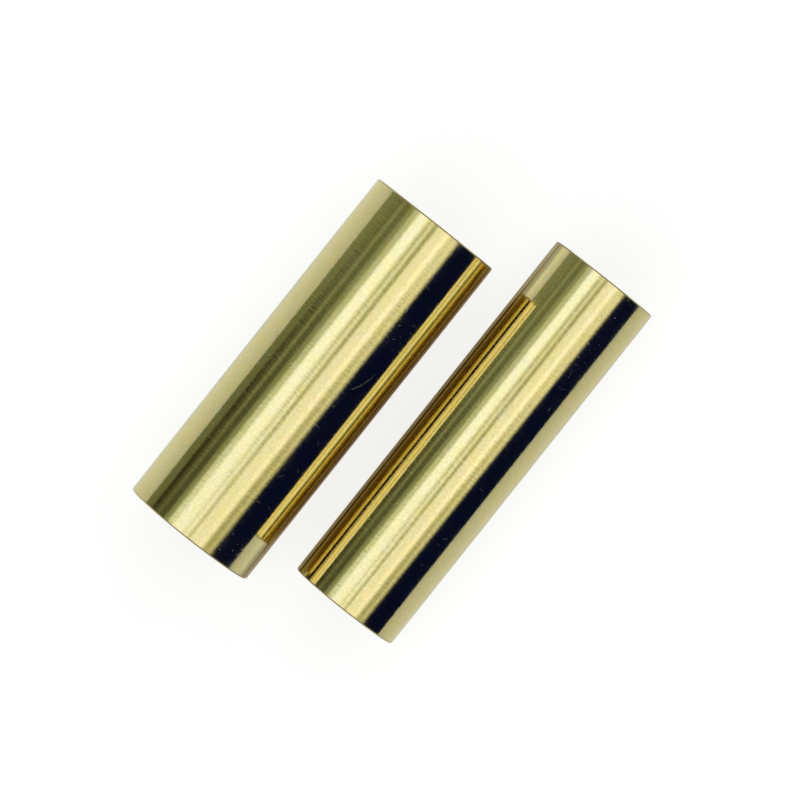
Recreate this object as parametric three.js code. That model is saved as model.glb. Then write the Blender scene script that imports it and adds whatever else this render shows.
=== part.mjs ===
// A pair of plain guitar slides: two open brass tubes that slip over a finger and glide along the strings.
// The larger and the smaller tube lie side by side on one flat surface, each free of the other.
//
// Units are millimetres and +Z is up. +X runs along both tubes, and +Y points from the smaller tube to the
// larger one. The origin is the bottom centre of the box round the pair, on the surface they lie on.

import * as THREE from 'three';

// Driving dimensions.
const WALL = 1.5; // drawn tube wall, the same on both slides
const EDGE_ROUND = 0.2; // radius that breaks every sharp edge at the tube ends
const GAP = 5.05; // clear width between the two tubes where they lie
const END_STAGGER = 7.7; // how far the small slide's middle lies past the large one's, along +X

const LARGE = { name: 'large_slide', diameter: 22, length: 60 };
const SMALL = { name: 'small_slide', diameter: 18.3, length: 63.5 };

// Facets round each tube. An even count puts a flat facet at the very bottom, so that the tube lies still.
const FACETS = 72;
const ROUND_STEPS = 2;

const BRASS = {
  color: new THREE.Color(0.84, 0.71, 0.35),
  metalness: 1,
  roughness: 0.12,
};

// One rounded corner of the wall's section, as points of a quarter circle round its centre.
function cornerPoints(radius, axial, startAngle) {
  const points = [];
  for (let step = 0; step <= ROUND_STEPS; step += 1) {
    const angle = startAngle + (Math.PI / 2) * (step / ROUND_STEPS);
    const r = radius + EDGE_ROUND * Math.cos(angle);
    const a = axial + EDGE_ROUND * Math.sin(angle);
    points.push(new THREE.Vector2(r, a));
  }
  return points;
}

// The closed section of the tube's wall: radius across, distance along the axis upwards. It starts at the
// outer corner of the far end and goes round through the bore and back along the outside.
function wallSection({ diameter, length }) {
  const outer = diameter / 2 - EDGE_ROUND;
  const inner = diameter / 2 - WALL + EDGE_ROUND;
  const end = length / 2 - EDGE_ROUND;
  const section = [
    ...cornerPoints(outer, end, 0),
    ...cornerPoints(inner, end, Math.PI / 2),
    ...cornerPoints(inner, -end, Math.PI),
    ...cornerPoints(outer, -end, (3 * Math.PI) / 2),
  ];
  section.push(section[0].clone());
  return section;
}

// Height of the axis of a tube that lies on one of its facets.
function axisHeight({ diameter }) {
  return (diameter / 2) * Math.cos(Math.PI / FACETS);
}

// One slide: the wall's section turned about its axis, laid down along +X.
function makeSlide(slide, x, y) {
  const halfFacet = Math.PI / FACETS;
  const geometry = new THREE.LatheGeometry(wallSection(slide), FACETS, halfFacet);
  const mesh = new THREE.Mesh(geometry, new THREE.MeshStandardMaterial(BRASS));
  mesh.name = slide.name;
  mesh.rotation.z = -Math.PI / 2;
  mesh.position.set(x, y, axisHeight(slide));
  return mesh;
}

// Where the two lie: across, they share the width of the pair, and along, the box round both is centred.
const pairWidth = LARGE.diameter + GAP + SMALL.diameter;
const largeY = pairWidth / 2 - LARGE.diameter / 2;
const smallY = SMALL.diameter / 2 - pairWidth / 2;

const lowEnd = Math.min(-LARGE.length / 2, END_STAGGER - SMALL.length / 2);
const highEnd = Math.max(LARGE.length / 2, END_STAGGER + SMALL.length / 2);
const largeX = -(lowEnd + highEnd) / 2;
const smallX = largeX + END_STAGGER;

const pair = new THREE.Group();
pair.add(makeSlide(LARGE, largeX, largeY));
pair.add(makeSlide(SMALL, smallX, smallY));

export default pair;
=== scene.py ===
# The looks of a pair of plain brass guitar slides: two drawn tubes, cut square, with broken edges, buffed
# to a mirror outside and left as drawn inside. A mirror finish only shows what stands round it, so the
# studio is a soft white tent with a dark cloth on one side, a dim room on the other, and folds and lamps.
#
# Metres, +Z up, +X along the tubes, +Y from the smaller slide to the larger one.

import math

import bpy
from mathutils import Matrix, Vector


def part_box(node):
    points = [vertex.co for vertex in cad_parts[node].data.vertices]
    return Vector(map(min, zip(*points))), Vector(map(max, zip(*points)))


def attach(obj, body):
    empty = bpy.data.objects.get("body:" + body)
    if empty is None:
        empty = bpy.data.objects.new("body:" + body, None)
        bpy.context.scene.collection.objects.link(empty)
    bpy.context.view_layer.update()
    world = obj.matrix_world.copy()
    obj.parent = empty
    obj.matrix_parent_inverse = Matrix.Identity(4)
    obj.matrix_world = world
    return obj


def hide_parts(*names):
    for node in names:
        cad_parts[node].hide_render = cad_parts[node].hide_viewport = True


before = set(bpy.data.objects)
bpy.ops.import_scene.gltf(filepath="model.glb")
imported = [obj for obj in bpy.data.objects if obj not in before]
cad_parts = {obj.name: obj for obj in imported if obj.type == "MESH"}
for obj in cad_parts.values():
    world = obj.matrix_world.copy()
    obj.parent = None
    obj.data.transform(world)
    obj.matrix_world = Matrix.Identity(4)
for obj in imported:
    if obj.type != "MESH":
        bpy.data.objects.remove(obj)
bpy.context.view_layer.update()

MM = 0.001

# ---------------------------------------------------------------- the tubes' own sizes

WALL = 1.5 * MM  # as in the CAD part
CHAMFER = 0.2 * MM  # along each leg, inside the CAD part's rounded edge
BLEND = 0.06 * MM  # the radius to which a chamfer's own two edges are worn
BLEND_STEPS = 3
SEGMENTS = 256  # round the tube
WALL_STEPS = 12  # along the tube
SKIN, RIM, BORE = range(3)  # material slots of a tube


def corner(radius, axial, start):
    """One chamfered corner of the wall's section, as (radius, axial, normal angle) points."""
    tuck = BLEND * (1 - math.sqrt(2))
    blends = [(CHAMFER - BLEND, tuck), (tuck, CHAMFER - BLEND)]
    points = []
    for i, (out, along) in enumerate(blends):
        for step in range(BLEND_STEPS + 1):
            angle = math.pi / 4 * (i + step / BLEND_STEPS)
            local = Vector((out + BLEND * math.cos(angle), along + BLEND * math.sin(angle)))
            local.rotate(Matrix.Rotation(start, 2))
            points.append((radius + local.x, axial + local.y, start + angle))
    return points


def straight(first, last, steps):
    """The points between two others on a straight wall, which face as both of them do."""
    points = []
    for step in range(1, steps):
        share = step / steps
        r = first[0] + (last[0] - first[0]) * share
        a = first[1] + (last[1] - first[1]) * share
        points.append((r, a, first[2]))
    return points


def wall_section(radius, length):
    """The closed section of a tube's wall, and the material slot of the band after each point."""
    outer = radius - CHAMFER
    inner = radius - WALL + CHAMFER
    end = length / 2 - CHAMFER
    corners = [
        corner(outer, end, 0),
        corner(inner, end, math.pi / 2),
        corner(inner, -end, math.pi),
        corner(outer, -end, math.pi * 3 / 2),
    ]
    edge_slots = [SKIN, RIM, RIM, SKIN]
    wall_slots = [RIM, BORE, RIM, SKIN]
    wall_steps = [2, WALL_STEPS, 2, WALL_STEPS]
    points, slots = [], []
    for i, edge in enumerate(corners):
        following = corners[(i + 1) % len(corners)]
        between = straight(edge[-1], following[0], wall_steps[i])
        points += edge + between
        slots += [edge_slots[i]] * (len(edge) - 1)
        slots += [wall_slots[i]] * wall_steps[i]
    return points, slots


def tube(name, centre, radius, length, materials):
    """A closed tube along X whose every normal is the true one of its round shape."""
    points, slots = wall_section(radius, length)
    count = len(points)
    vertices, normals, faces, face_slots = [], [], [], []
    for segment in range(SEGMENTS):
        turn = 2 * math.pi * segment / SEGMENTS
        y, z = math.sin(turn), math.cos(turn)
        for r, a, angle in points:
            vertices.append((centre.x + a, centre.y + r * y, centre.z + r * z))
            out = math.cos(angle)
            normals.append((math.sin(angle), out * y, out * z))
        start = segment * count
        after = (segment + 1) % SEGMENTS * count
        for i in range(count):
            j = (i + 1) % count
            faces.append((start + i, start + j, after + j, after + i))
            face_slots.append(slots[i])
    mesh = bpy.data.meshes.new(name)
    mesh.from_pydata(vertices, [], faces)
    for material in materials:
        mesh.materials.append(material)
    mesh.polygons.foreach_set("material_index", face_slots)
    mesh.polygons.foreach_set("use_smooth", [True] * len(faces))
    mesh.normals_split_custom_set_from_vertices(normals)
    piece = bpy.data.objects.new(name, mesh)
    bpy.context.scene.collection.objects.link(piece)
    return piece


# ---------------------------------------------------------------- materials


class Nodes:
    """Adds nodes to a tree and links them in one call each."""

    def __init__(self, tree):
        self.tree = tree

    def add(self, kind, settings=None, **inputs):
        node = self.tree.nodes.new(kind)
        for name, value in (settings or {}).items():
            setattr(node, name, value)
        for name, value in inputs.items():
            self.set(node.inputs[name.replace("_", " ")], value)
        return node

    def set(self, socket, value):
        if isinstance(value, bpy.types.NodeSocket):
            self.tree.links.new(value, socket)
        else:
            socket.default_value = value

    def math(self, operation, *values):
        node = self.tree.nodes.new("ShaderNodeMath")
        node.operation = operation
        for socket, value in zip(node.inputs, values):
            self.set(socket, value)
        return node.outputs[0]

    def between(self, value, low, high, kind="LINEAR"):
        """0 at low and 1 at high, held outside them."""
        node = self.add("ShaderNodeMapRange", {"clamp": True, "interpolation_type": kind})
        self.set(node.inputs["Value"], value)
        node.inputs["From Min"].default_value = low
        node.inputs["From Max"].default_value = high
        return node.outputs["Result"]

    def edge(self, value, place, softness):
        """0 well below a place and 1 well above it."""
        return self.between(value, place - softness / 2, place + softness / 2, "SMOOTHSTEP")

    def mix(self, share, first, second):
        node = self.add("ShaderNodeMix", {"data_type": "RGBA"})
        self.set(node.inputs["Factor"], share)
        self.set(node.inputs["A"], first)
        self.set(node.inputs["B"], second)
        return node.outputs["Result"]

    def ramp(self, position, stops):
        node = self.tree.nodes.new("ShaderNodeValToRGB")
        elements = node.color_ramp.elements
        elements.remove(elements[1])
        elements[0].position = stops[0][0]
        elements[0].color = (*stops[0][1], 1)
        for place, colour in stops[1:]:
            elements.new(place).color = (*colour, 1)
        self.set(node.inputs["Fac"], position)
        return node.outputs["Color"]

    def stretched(self, vector, features):
        """A place measured in features of the given sizes along X, Y and Z."""
        node = self.add("ShaderNodeVectorMath", {"operation": "MULTIPLY"})
        self.set(node.inputs[0], vector)
        node.inputs[1].default_value = [1 / size for size in features]
        return node.outputs[0]

    def total(self, start, *parts):
        """A start value plus each part times its weight."""
        for value, weight in parts:
            start = self.math("MULTIPLY_ADD", value, weight, start)
        return start

    def noise(self, vector, detail=2.0, roughness=0.5):
        """Noise round 0, about -0.5 to 0.5."""
        node = self.add("ShaderNodeTexNoise", Vector=vector, Scale=1.0, Detail=detail, Roughness=roughness)
        return self.math("SUBTRACT", node.outputs[0], 0.5)

    def vector(self, x, y, z=0.0):
        return self.add("ShaderNodeCombineXYZ", X=x, Y=y, Z=z).outputs[0]


SCRATCH_WIDTH = 0.07 * MM


class Brass:
    """One finish of one tube: its shader, and places measured on the tube."""

    def __init__(self, name, centre, radius):
        self.material = bpy.data.materials.new(name)
        self.material.use_nodes = True
        self.shader = self.material.node_tree.nodes["Principled BSDF"]
        self.shader.inputs["Metallic"].default_value = 1
        n = self.n = Nodes(self.material.node_tree)
        self.place = n.add("ShaderNodeTexCoord").outputs["Object"]
        x, y, z = n.add("ShaderNodeSeparateXYZ", Vector=self.place).outputs
        self.x = n.math("SUBTRACT", x, centre.x)
        self.y = n.math("SUBTRACT", y, centre.y)
        self.z = n.math("SUBTRACT", z, centre.z)
        # Round the tube from the top towards -Y, so that the seam of the angle lies at the bottom.
        self.angle = n.math("ARCTAN2", n.math("MULTIPLY", self.y, -1.0), self.z)
        self.radius = radius
        self.arc = n.math("MULTIPLY", self.angle, radius)

    def pattern(self, features, detail=2.0, roughness=0.5):
        """Noise round 0 with features of the given sizes along X, Y and Z."""
        return self.n.noise(self.n.stretched(self.place, features), detail, roughness)

    def finish(self, colour, roughness, height, depth):
        """The height, from about -0.5 to 0.5, stands for a relief of the given depth."""
        n = self.n
        n.set(self.shader.inputs["Base Color"], colour)
        n.set(self.shader.inputs["Roughness"], roughness)
        bump = n.add("ShaderNodeBump", Strength=1.0, Distance=depth, Height=height)
        n.set(self.shader.inputs["Normal"], bump.outputs[0])
        return self.material


def specks(brass, cell, share, radius):
    """Small round marks, 0.6 to 1.4 of the radius, in that share of the cells: 1 on a mark, 0 off it."""
    n = brass.n
    place = n.vector(n.math("DIVIDE", brass.x, cell), n.math("DIVIDE", brass.arc, cell))
    cells = n.add("ShaderNodeTexVoronoi", {"voronoi_dimensions": "2D"}, Vector=place, Scale=1.0)
    chance, size, _ = n.add("ShaderNodeSeparateColor", Color=cells.outputs["Color"]).outputs
    reach = n.math("MULTIPLY", n.math("MULTIPLY_ADD", size, 0.8, 0.6), radius / cell)
    inside = n.math("SUBTRACT", 1.0, n.math("DIVIDE", cells.outputs["Distance"], reach))
    mark = n.between(inside, 0.0, 0.5)
    return n.math("MULTIPLY", mark, n.math("LESS_THAN", chance, share))


def hairlines(brass, cell, share, reach, width):
    """Fine bent scratches, in that share of the cells, reaching that far each way: 1 on one, 0 off it."""
    n = brass.n
    place = n.vector(n.math("DIVIDE", brass.x, cell), n.math("DIVIDE", brass.arc, cell))
    cells = n.add("ShaderNodeTexVoronoi", {"voronoi_dimensions": "2D"}, Vector=place, Scale=1.0)
    cells.inputs["Randomness"].default_value = 0.6
    chance, turn, bend = n.add("ShaderNodeSeparateColor", Color=cells.outputs["Color"]).outputs
    local = n.add("ShaderNodeVectorMath", {"operation": "SUBTRACT"})
    n.set(local.inputs[0], place)
    n.set(local.inputs[1], cells.outputs["Position"])
    turned = n.add("ShaderNodeVectorRotate", {"rotation_type": "Z_AXIS"}, Vector=local.outputs[0])
    n.set(turned.inputs["Angle"], n.math("MULTIPLY", turn, math.pi))
    along, across, _ = n.add("ShaderNodeSeparateXYZ", Vector=turned.outputs[0]).outputs
    curve = n.math("MULTIPLY", n.math("MULTIPLY", along, along), n.math("SUBTRACT", bend, 0.5))
    off = n.math("ABSOLUTE", n.math("ADD", across, curve))
    line = n.between(off, width / cell, 0.0)
    length = n.between(n.math("ABSOLUTE", along), reach / cell, reach / cell * 0.6)
    line = n.math("MULTIPLY", line, length)
    return n.math("MULTIPLY", line, n.math("LESS_THAN", chance, share))


def scratch(brass, lowest, angle, radius, start, end):
    """One scratch, part of a circle, which starts sharply and fades out: 1 on it, 0 off it.

    The circle's lowest point on the tube is given by x and the angle from the top, and the scratch's start
    and end by x.
    """
    n = brass.n
    along = n.math("SUBTRACT", brass.x, lowest)
    across = n.math("MULTIPLY_ADD", math.radians(angle), -brass.radius, brass.arc)
    across = n.math("ADD", across, radius)
    away = n.math("SQRT", n.math("MULTIPLY_ADD", along, along, n.math("MULTIPLY", across, across)))
    off = n.math("ABSOLUTE", n.math("SUBTRACT", away, radius))
    line = n.between(off, SCRATCH_WIDTH, SCRATCH_WIDTH / 3)
    line = n.math("MULTIPLY", line, n.between(brass.x, start, start + 4 * SCRATCH_WIDTH))
    line = n.math("MULTIPLY", line, n.between(brass.x, end, end - 30 * SCRATCH_WIDTH))
    return n.math("MULTIPLY", line, n.math("GREATER_THAN", across, 0.0))


# The outside's patterns, by the sizes of their features along X, Y and Z.
RINGS = (0.36 * MM, 1.6 * MM, 1.6 * MM)  # what the buffing wheel leaves, round the tube
COMBED = (0.34 * MM, 0.42 * MM, 0.42 * MM)  # the same, broken short
PASSES = (2.2 * MM, 14 * MM, 14 * MM)  # where the wheel stayed longer
GRAIN = (0.42 * MM, 0.42 * MM, 0.42 * MM)
SMUDGES = (9 * MM, 7 * MM, 7 * MM)  # where it was handled
WARMTH = (2.6 * MM, 1.8 * MM, 1.8 * MM)  # where the brass is redder
TINT = (3.1 * MM, 2.1 * MM, 2.1 * MM)  # where it is paler

POLISHED = (0.84, 0.71, 0.352)
DUST = (0.50, 0.53, 0.60)
CHAMFER_PAINTED_SHADE = (0.46, 0.36, 0.17)  # painted shade: the chamfers darkened brown for the thin dark line along the tubes' ends; the buffing wheel, which misses them, only leaves them duller
WORN_END = 1.6 * MM  # how far in from an end the outside is rubbed duller
POLISH_DEPTH = 8e-6


def skin_colour(brass):
    """Polished brass, a little brighter, redder or paler from place to place."""
    n = brass.n
    bright = n.total(1.0, (brass.pattern(GRAIN, 1.0), 0.27))
    red = n.total(POLISHED[0], (brass.pattern(WARMTH, 3.0, 0.75), 0.22))
    blue = n.total(POLISHED[2], (brass.pattern(TINT, 3.0, 0.75), 0.26))
    shares = [n.math("MULTIPLY", bright, part) for part in (red, POLISHED[1], blue)]
    return n.add("ShaderNodeCombineColor", Red=shares[0], Green=shares[1], Blue=shares[2]).outputs[0]


def fine_lines(brass, length):
    """Short whiskers and a few long hairlines, none of them near the ends."""
    n = brass.n
    whiskers = hairlines(brass, 2.4 * MM, 0.35, 0.6 * MM, 0.05 * MM)
    long_lines = hairlines(brass, 8 * MM, 0.08, 2.0 * MM, 0.05 * MM)
    middle = n.between(n.math("ABSOLUTE", brass.x), length * 0.45, length * 0.3)
    return n.math("MULTIPLY", n.math("MAXIMUM", whiskers, long_lines), middle)


def skin(name, centre, radius, length, scratches):
    """The outside: buffed on a lathe to a mirror, so its finest marks run round it, and handled since."""
    brass = Brass(name, centre, radius)
    n = brass.n
    rings = brass.pattern(RINGS, 1.0)
    combed = brass.pattern(COMBED, 1.0)
    passes = brass.pattern(PASSES)
    handled = n.between(brass.pattern(SMUDGES, 3.0), -0.05, 0.2)
    dust = n.math("MULTIPLY", specks(brass, 1.1 * MM, 0.5, 0.12 * MM), handled)
    lines = fine_lines(brass, length)
    marks = 0.0
    for place_of_mark in scratches:
        marks = n.math("MAXIMUM", marks, scratch(brass, *place_of_mark))
    off_middle = n.math("ABSOLUTE", brass.x)
    ends = n.between(off_middle, length / 2 - WORN_END, length / 2 - CHAMFER)
    # the chamfers, left duller by the buffing wheel, which misses them, and darkened as painted shade
    edge = n.math("GREATER_THAN", off_middle, length / 2 - CHAMFER)

    polish = n.total(0.09, (rings, 0.07), (passes, 0.05), (combed, 0.06), (handled, 0.03), (ends, 0.04))
    roughness = n.total(polish, (lines, 0.26), (dust, 0.35), (marks, 0.28), (edge, 0.12))
    lint = n.math("MAXIMUM", n.math("MULTIPLY", dust, 0.8), n.math("MULTIPLY", lines, 0.4))
    colour = n.mix(lint, skin_colour(brass), (*DUST, 1))
    # painted shade: the chamfers' colour darkened brown
    colour = n.mix(edge, colour, (*CHAMFER_PAINTED_SHADE, 1))
    height = n.total(0.0, (combed, 0.3), (rings, 0.7), (lines, -0.3), (marks, -0.8))
    return brass.finish(colour, roughness, height, POLISH_DEPTH)


TOOL_RING = 0.24 * MM  # how wide the cutting tool's rings are
TOOL_DRIFT = 30 * MM  # how far round the tube one goes on alike
FACED_DARK = (0.81, 0.67, 0.32)
FACED_LIGHT = (0.84, 0.70, 0.36)
FACED_DEPTH = 12e-6


def rim(name, centre, radius):
    """The end faces: faced off in the lathe and left with the tool's fine rings."""
    brass = Brass(name, centre, radius)
    n = brass.n
    out = n.math("SQRT", n.math("ADD", n.math("POWER", brass.y, 2.0), n.math("POWER", brass.z, 2.0)))
    place = n.vector(n.math("DIVIDE", out, TOOL_RING), n.math("DIVIDE", brass.arc, TOOL_DRIFT))
    tool = n.noise(place, 2.0, 0.6)
    grain = brass.pattern((0.5 * MM, 0.5 * MM, 0.5 * MM))
    tone = brass.pattern((4 * MM, 4 * MM, 4 * MM))
    roughness = n.total(0.27, (tool, 0.25), (grain, 0.10))
    colour = n.mix(n.between(tone, -0.25, 0.25), (*FACED_DARK, 1), (*FACED_LIGHT, 1))
    height = n.total(tool, (grain, 0.12))
    return brass.finish(colour, roughness, height, FACED_DEPTH)


DRAWN = (24 * MM, 0.35 * MM, 0.35 * MM)  # the lines that drawing the tube leaves along it
DRAWN_GRAIN = (0.6 * MM, 0.4 * MM, 0.4 * MM)
DULL_PATCHES = (11 * MM, 4 * MM, 4 * MM)
BORE_CLEAN = (0.78, 0.62, 0.30)
BORE_DULL = (0.56, 0.38, 0.17)
BORE_BRIGHT = (0.82, 0.68, 0.35)  # along the highest of the lines
BORE_DEPTH = 14e-6


def bore(name, centre, radius):
    """The inside: as drawn, with lines along it, and dulled brown in patches."""
    brass = Brass(name, centre, radius)
    n = brass.n
    draw = brass.pattern(DRAWN)
    grain = brass.pattern(DRAWN_GRAIN)
    dull = n.between(brass.pattern(DULL_PATCHES, 4.0, 0.6), -0.12, 0.22)
    roughness = n.total(0.31, (draw, 0.22), (grain, 0.10), (dull, 0.12))
    colour = n.mix(dull, (*BORE_CLEAN, 1), (*BORE_DULL, 1))
    colour = n.mix(n.between(draw, 0.05, 0.3), colour, (*BORE_BRIGHT, 1))
    height = n.total(draw, (grain, 0.3))
    return brass.finish(colour, roughness, height, BORE_DEPTH)


# ---------------------------------------------------------------- the slides

# The scratches that stand out. Each is part of a circle, and has x and the angle from the top of the
# circle's lowest point, its radius, and the x where the scratch starts and ends.
SCRATCHES = {
    "large_slide": [
        (8 * MM, 41, 8.4 * MM, 2.5 * MM, 7.6 * MM),
        (-21.5 * MM, 37, 20 * MM, -22.4 * MM, -20.8 * MM),
    ],
    "small_slide": [
        (12 * MM, 38, 15 * MM, 10.5 * MM, 12.6 * MM),
    ],
}

for node in ("large_slide", "small_slide"):
    low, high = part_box(node)
    centre = (low + high) / 2
    radius = (high.y - low.y) / 2
    length = high.x - low.x
    finishes = [
        skin(node + "_skin", centre, radius, length, SCRATCHES[node]),
        rim(node + "_rim", centre, radius),
        bore(node + "_bore", centre, radius - WALL),
    ]
    piece = tube(node + "_tube", centre, radius, length, finishes)
    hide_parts(node)
    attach(piece, node)

# ---------------------------------------------------------------- the studio

# What the tubes mirror: a white tent over them with things hung and standing round it, as strips that
# run along X, each laid over the ones before it. A strip has the directions where it starts and ends, in
# degrees from straight overhead (negative towards +Y), how soft its edges are, and how bright it is as
# mirrored by the low ends of the tubes, by their middle and by their high ends.
TENT_WHITE = (0.93, 0.93, 0.93, 1)
STRIPS = {
    "tent's far side": (-60, -28.5, 6, 0.84, 0.52, 0.56),
    "its hem": (-60, -38.5, 6, 0.27, 0.24, 0.29),
    "room beyond": (-180, -47, 6, 0.08, 0.08, 0.17),
    "lit wall": (-180, -77, 4, 0.15, 0.14, 0.22),
    "doorway": (-77, -69, 5, 0.03, 0.04, 0.22),
    "window": (-64, -57.5, 4, 0.11, 0.22, 0.27),
    "first lamp": (-28, -11, 6, 1.06, 1.15, 1.14),
    "gathered cloth": (-12, 9.5, 5, 1.08, 0.90, 0.77),
    "first fold": (-8.7, -4.8, 4, 0.92, 0.62, 0.47),
    "second fold": (0.8, 7, 4, 0.66, 0.40, 0.38),
    "second lamp": (22.5, 45, 4, 0.98, 1.12, 1.12),
    "tent's near side": (31.2, 60, 8, 0.36, 0.48, 0.82),
    "its turned edge": (41, 46, 4, 0.54, 0.70, 0.84),
    "its seam": (46.5, 60, 4, 0.40, 0.56, 0.70),
}
LOW_END, HIGH_END = -0.062, 0.006  # X of the directions that the low and the high ends mirror
TENT_SIDES = -46, 29  # degrees from overhead, from the tent's far side to its near side
RED = 0.98  # the tent's red for its level, at its far side
RED_NEAR = 0.11  # and what the near side has more
GREEN = 1.12
BLUE = 0.53  # the blue for its level where it is darkest
BLUE_BRIGHT = 0.71  # and what a level of 1 has more
BLUE_NEAR = -0.13  # the share of it that the near side has less

DRAPE = (0.002, 0.004, 0.032)  # a dark cloth hangs from the tent's near edge down to the floor
DRAPE_TOP = 48.4  # degrees from overhead, as the low ends of the tubes mirror it
DRAPE_EDGE = 7  # how soft that edge is
DRAPE_DROP = 1.1  # how much further from overhead it is as the high ends mirror it

OPEN_ENDS = 0.75, 0.97  # X of the directions where the tent's sides give way to its open ends
ENDS_HIGH = (1.0, 1.0, 1.0)  # what is seen through them: light from above
ENDS_LOW = (0.62, 0.57, 0.40)  # warmer and dimmer towards the floor
ENDS_RISE = 0.8  # Z of the direction where the light from above is full
ENDS_BELOW = (0.07, 0.07, 0.06)  # and dark below the horizon
HORIZON_EDGE = 0.06  # how soft the horizon is

BACKDROP = (1.0, 1.0, 0.985)  # what the camera sees beyond the floor
SEEN_FLOOR = (0.35, 0.35, 0.35)  # the floor's colour as the camera sees it
SEEN_GLOW = 0.79  # and the light that it adds, so that it is near white
SEEN_EDGES = 4.0, 4.0  # how far it reaches along X and along Y

# The floor as the tubes mirror it, with painted light and shade on it.
MIRRORED = (0.97, 0.97, 0.95)  # its colour close to them
MIRRORED_EDGES = 450 * MM, 350 * MM  # how far it reaches along X and along Y
MIRRORED_HEIGHT = -0.02 * MM
NEAR = 10 * MM  # where, beside them, it has that colour
NEAREST = 0.5  # closer than this share of that distance it gets no brighter
FAR_FADE = -0.10  # the power of the distance by which it dims away from them
BEYOND_ENDS_SHADE = 0.70  # painted shade: how bright it is straight beyond the tubes' ends
SIDE_GAIN = 0.1  # how much brighter it is on the larger tube's side
SIDE_REACH = 20 * MM  # how far across from the middle that takes
LANE_SHADE_AT_LARGER = (0.80, 0.72, 0.50)  # its colour in the lane between the tubes, at the larger one: painted shade, browned by the light that the brass throws there
LANE_SHADE_AT_SMALLER = (0.62, 0.42, 0.31)  # and at the smaller one, where the painted shade is darker and browner
LANE_HALF = 8 * MM  # from the lane's middle to where the open floor starts to show again
LANE_SOFT = 4 * MM  # how far its edges fade
LANE_ENDS = 0.45  # how much of it is left beyond the shorter tube's ends
ENDS_SOFT = 7 * MM
SHADE_UNDER_TUBES = (0.17, 0.03, 0.02)  # painted shade, near black: its colour where the lane runs in under the tubes' sides
UNDER_FROM = 6 * MM  # how far from the lane's middle that is
UNDER_SOFT = 3 * MM


def tent_light(n, x, over):
    """The tent's colour. Its dimmer parts are warmer, and its two sides differ a little."""
    along = n.between(x, LOW_END, HIGH_END)
    level = TENT_WHITE
    for start, end, softness, low, middle, high in STRIPS.values():
        share = n.math("SUBTRACT", n.edge(over, start, softness), n.edge(over, end, softness))
        strip = n.ramp(along, [(0, [low] * 3), (0.5, [middle] * 3), (1, [high] * 3)])
        level = n.mix(share, level, strip)
    side = n.between(over, *TENT_SIDES)
    red = n.math("MULTIPLY", level, n.total(RED, (side, RED_NEAR)))
    green = n.math("MULTIPLY", level, GREEN)
    blue = n.math("MULTIPLY", level, n.total(BLUE, (level, BLUE_BRIGHT)))
    blue = n.math("MULTIPLY", blue, n.total(1.0, (side, BLUE_NEAR)))
    colour = n.add("ShaderNodeCombineColor", Red=red, Green=green, Blue=blue)
    below_top = n.total(over, (along, -DRAPE_DROP))
    return n.mix(n.edge(below_top, DRAPE_TOP, DRAPE_EDGE), colour.outputs[0], (*DRAPE, 1))


def open_ends_light(n, z):
    """What is seen through the tent's two open ends."""
    above = n.mix(n.between(z, 0.0, ENDS_RISE), (*ENDS_LOW, 1), (*ENDS_HIGH, 1))
    return n.mix(n.edge(z, 0.0, HORIZON_EDGE), (*ENDS_BELOW, 1), above)


def studio_world():
    world = bpy.data.worlds.new("studio")
    bpy.context.scene.world = world
    world.use_nodes = True
    tree = world.node_tree
    tree.nodes.clear()
    n = Nodes(tree)
    direction = n.add("ShaderNodeTexCoord").outputs["Generated"]
    x, y, z = n.add("ShaderNodeSeparateXYZ", Vector=direction).outputs
    over = n.math("DEGREES", n.math("ARCTAN2", n.math("MULTIPLY", y, -1.0), z))
    endways = n.between(n.math("ABSOLUTE", x), *OPEN_ENDS)
    light = n.mix(endways, tent_light(n, x, over), open_ends_light(n, z))
    seen = n.add("ShaderNodeLightPath").outputs["Is Camera Ray"]
    colour = n.mix(seen, light, (*BACKDROP, 1))
    background = n.add("ShaderNodeBackground", Color=colour)
    n.add("ShaderNodeOutputWorld", Surface=background.outputs[0])


def floor_sheet(name, edges, height, material):
    """A floor that reaches to the given edges along X and along Y."""
    mesh = bpy.data.meshes.new(name)
    far, edge = edges
    corners = [(-far, -edge), (far, -edge), (far, edge), (-far, edge)]
    mesh.from_pydata([(x, y, height) for x, y in corners], [], [range(4)])
    mesh.materials.append(material)
    sheet = bpy.data.objects.new(name, mesh)
    bpy.context.scene.collection.objects.link(sheet)
    return sheet


def floor_material(name, albedo, glow):
    material = bpy.data.materials.new(name)
    material.use_nodes = True
    shader = material.node_tree.nodes["Principled BSDF"]
    shader.inputs["Base Color"].default_value = (*albedo, 1)
    shader.inputs["Roughness"].default_value = 1
    shader.inputs["Specular IOR Level"].default_value = 0
    shader.inputs["Emission Color"].default_value = (1, 1, 0.995, 1)
    shader.inputs["Emission Strength"].default_value = glow
    return material


def open_floor(n, y, half_width):
    """The mirrored floor's colour away from the lane, with painted light and shade: brightest close beside
    the tubes, which light it, and dimmer straight beyond their ends.
    """
    outside = n.math("SUBTRACT", n.math("ABSOLUTE", y), half_width)
    distance = n.math("MAXIMUM", n.math("DIVIDE", outside, NEAR), NEAREST)
    level = n.math("POWER", distance, FAR_FADE)
    level = n.math("MULTIPLY", level, n.total(1.0, (n.between(y, -SIDE_REACH, SIDE_REACH), SIDE_GAIN)))
    # painted shade straight beyond the tubes' ends
    level = n.math("MULTIPLY", level, n.total(BEYOND_ENDS_SHADE, (n.between(outside, -NEAR, 0.0), 1 - BEYOND_ENDS_SHADE)))
    colour = n.add("ShaderNodeVectorMath", {"operation": "SCALE"}, Scale=level)
    colour.inputs[0].default_value = MIRRORED
    return colour.outputs[0]


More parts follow.
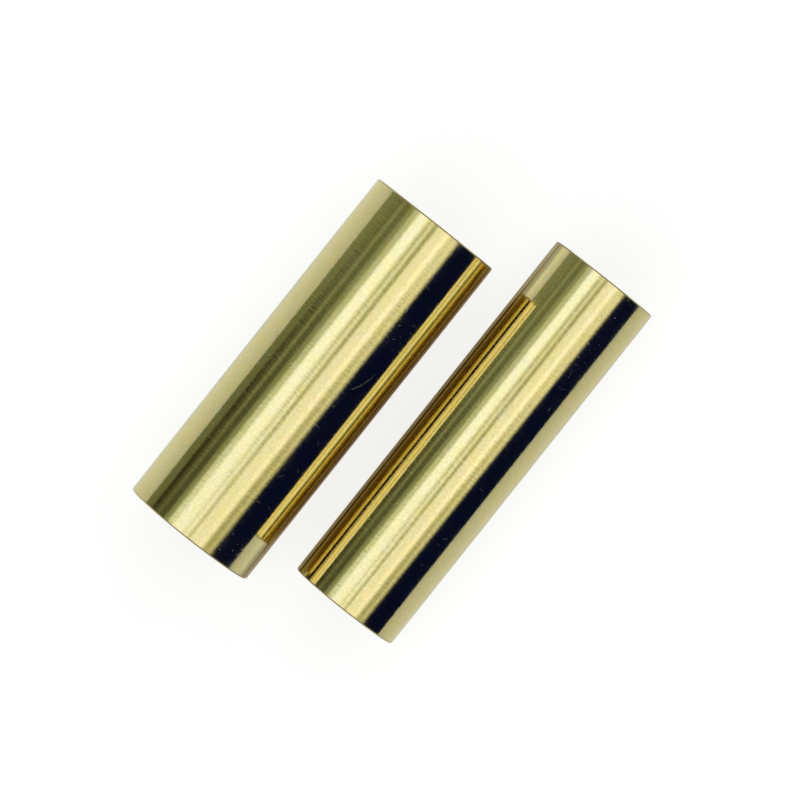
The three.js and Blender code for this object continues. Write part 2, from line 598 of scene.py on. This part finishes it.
def shade_mirrored_floor(material):
    """The open floor, and the lane between the tubes, painted dark brown as shade."""
    large_low, large_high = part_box("large_slide")
    small_low, small_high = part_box("small_slide")
    start = max(large_low.x, small_low.x)
    end = min(large_high.x, small_high.x)
    middle = (large_low.y + small_high.y) / 2
    half_width = (large_high.y - small_low.y) / 2

    n = Nodes(material.node_tree)
    place = n.add("ShaderNodeTexCoord").outputs["Object"]
    x, y, z = n.add("ShaderNodeSeparateXYZ", Vector=place).outputs
    from_middle = n.math("SUBTRACT", y, middle)
    across = n.math("ABSOLUTE", from_middle)
    along = n.math("SUBTRACT", n.edge(x, start, ENDS_SOFT), n.edge(x, end, ENDS_SOFT))
    inside = n.between(across, LANE_HALF + LANE_SOFT, LANE_HALF, "SMOOTHSTEP")
    share = n.math("MULTIPLY", inside, n.total(LANE_ENDS, (along, 1 - LANE_ENDS)))
    larger_side = n.between(from_middle, -LANE_HALF / 2, LANE_HALF / 2)
    # painted shade in the lane, darker and browner towards the smaller tube
    lane = n.mix(larger_side, (*LANE_SHADE_AT_SMALLER, 1), (*LANE_SHADE_AT_LARGER, 1))
    # painted shade, darkest where the lane runs in under the tubes' sides
    lane = n.mix(n.edge(across, UNDER_FROM, UNDER_SOFT), lane, (*SHADE_UNDER_TUBES, 1))
    colour = n.mix(share, open_floor(n, y, half_width), lane)
    n.set(material.node_tree.nodes["Principled BSDF"].inputs["Base Color"], colour)


def floors():
    """The floor as the camera sees it, near white, and the same floor as the tubes mirror it, with painted
    light and shade.
    """
    seen = floor_sheet("floor", SEEN_EDGES, 0, floor_material("floor", SEEN_FLOOR, SEEN_GLOW))
    seen.visible_glossy = False
    seen.visible_diffuse = False
    seen.visible_shadow = False
    material = floor_material("mirrored_floor", MIRRORED, 0.0)
    shade_mirrored_floor(material)
    mirrored = floor_sheet("mirrored_floor", MIRRORED_EDGES, MIRRORED_HEIGHT, material)
    mirrored.visible_camera = False


studio_world()
floors()

# ---------------------------------------------------------------- the camera

VIEW_WIDTH = 121.2 * MM  # of the picture at the height of the tubes' axes
DISTANCE = 790 * MM  # from there up to the camera
LOOK_AT = Vector((1.04 * MM, -0.70 * MM, 10 * MM))
CAMERA_X = 17.6 * MM
TURN = math.radians(51.5)  # of the tubes' length, from the picture's width


def make_camera():
    data = bpy.data.cameras.new("camera")
    data.sensor_width = 36
    data.lens = data.sensor_width * DISTANCE / VIEW_WIDTH
    data.clip_start = 0.05
    data.clip_end = 20
    camera = bpy.data.objects.new("camera", data)
    bpy.context.scene.collection.objects.link(camera)
    bpy.context.scene.camera = camera
    place = Vector((CAMERA_X, LOOK_AT.y, LOOK_AT.z + DISTANCE))
    back = (place - LOOK_AT).normalized()
    right = Vector((math.cos(TURN), -math.sin(TURN), 0))
    right = (right - back * right.dot(back)).normalized()
    up = back.cross(right)
    turn = Matrix((right, up, back)).transposed()
    camera.matrix_world = Matrix.Translation(place) @ turn.to_4x4()


make_camera()

scene = bpy.context.scene
scene.view_settings.view_transform = "Standard"
scene.view_settings.look = "None"
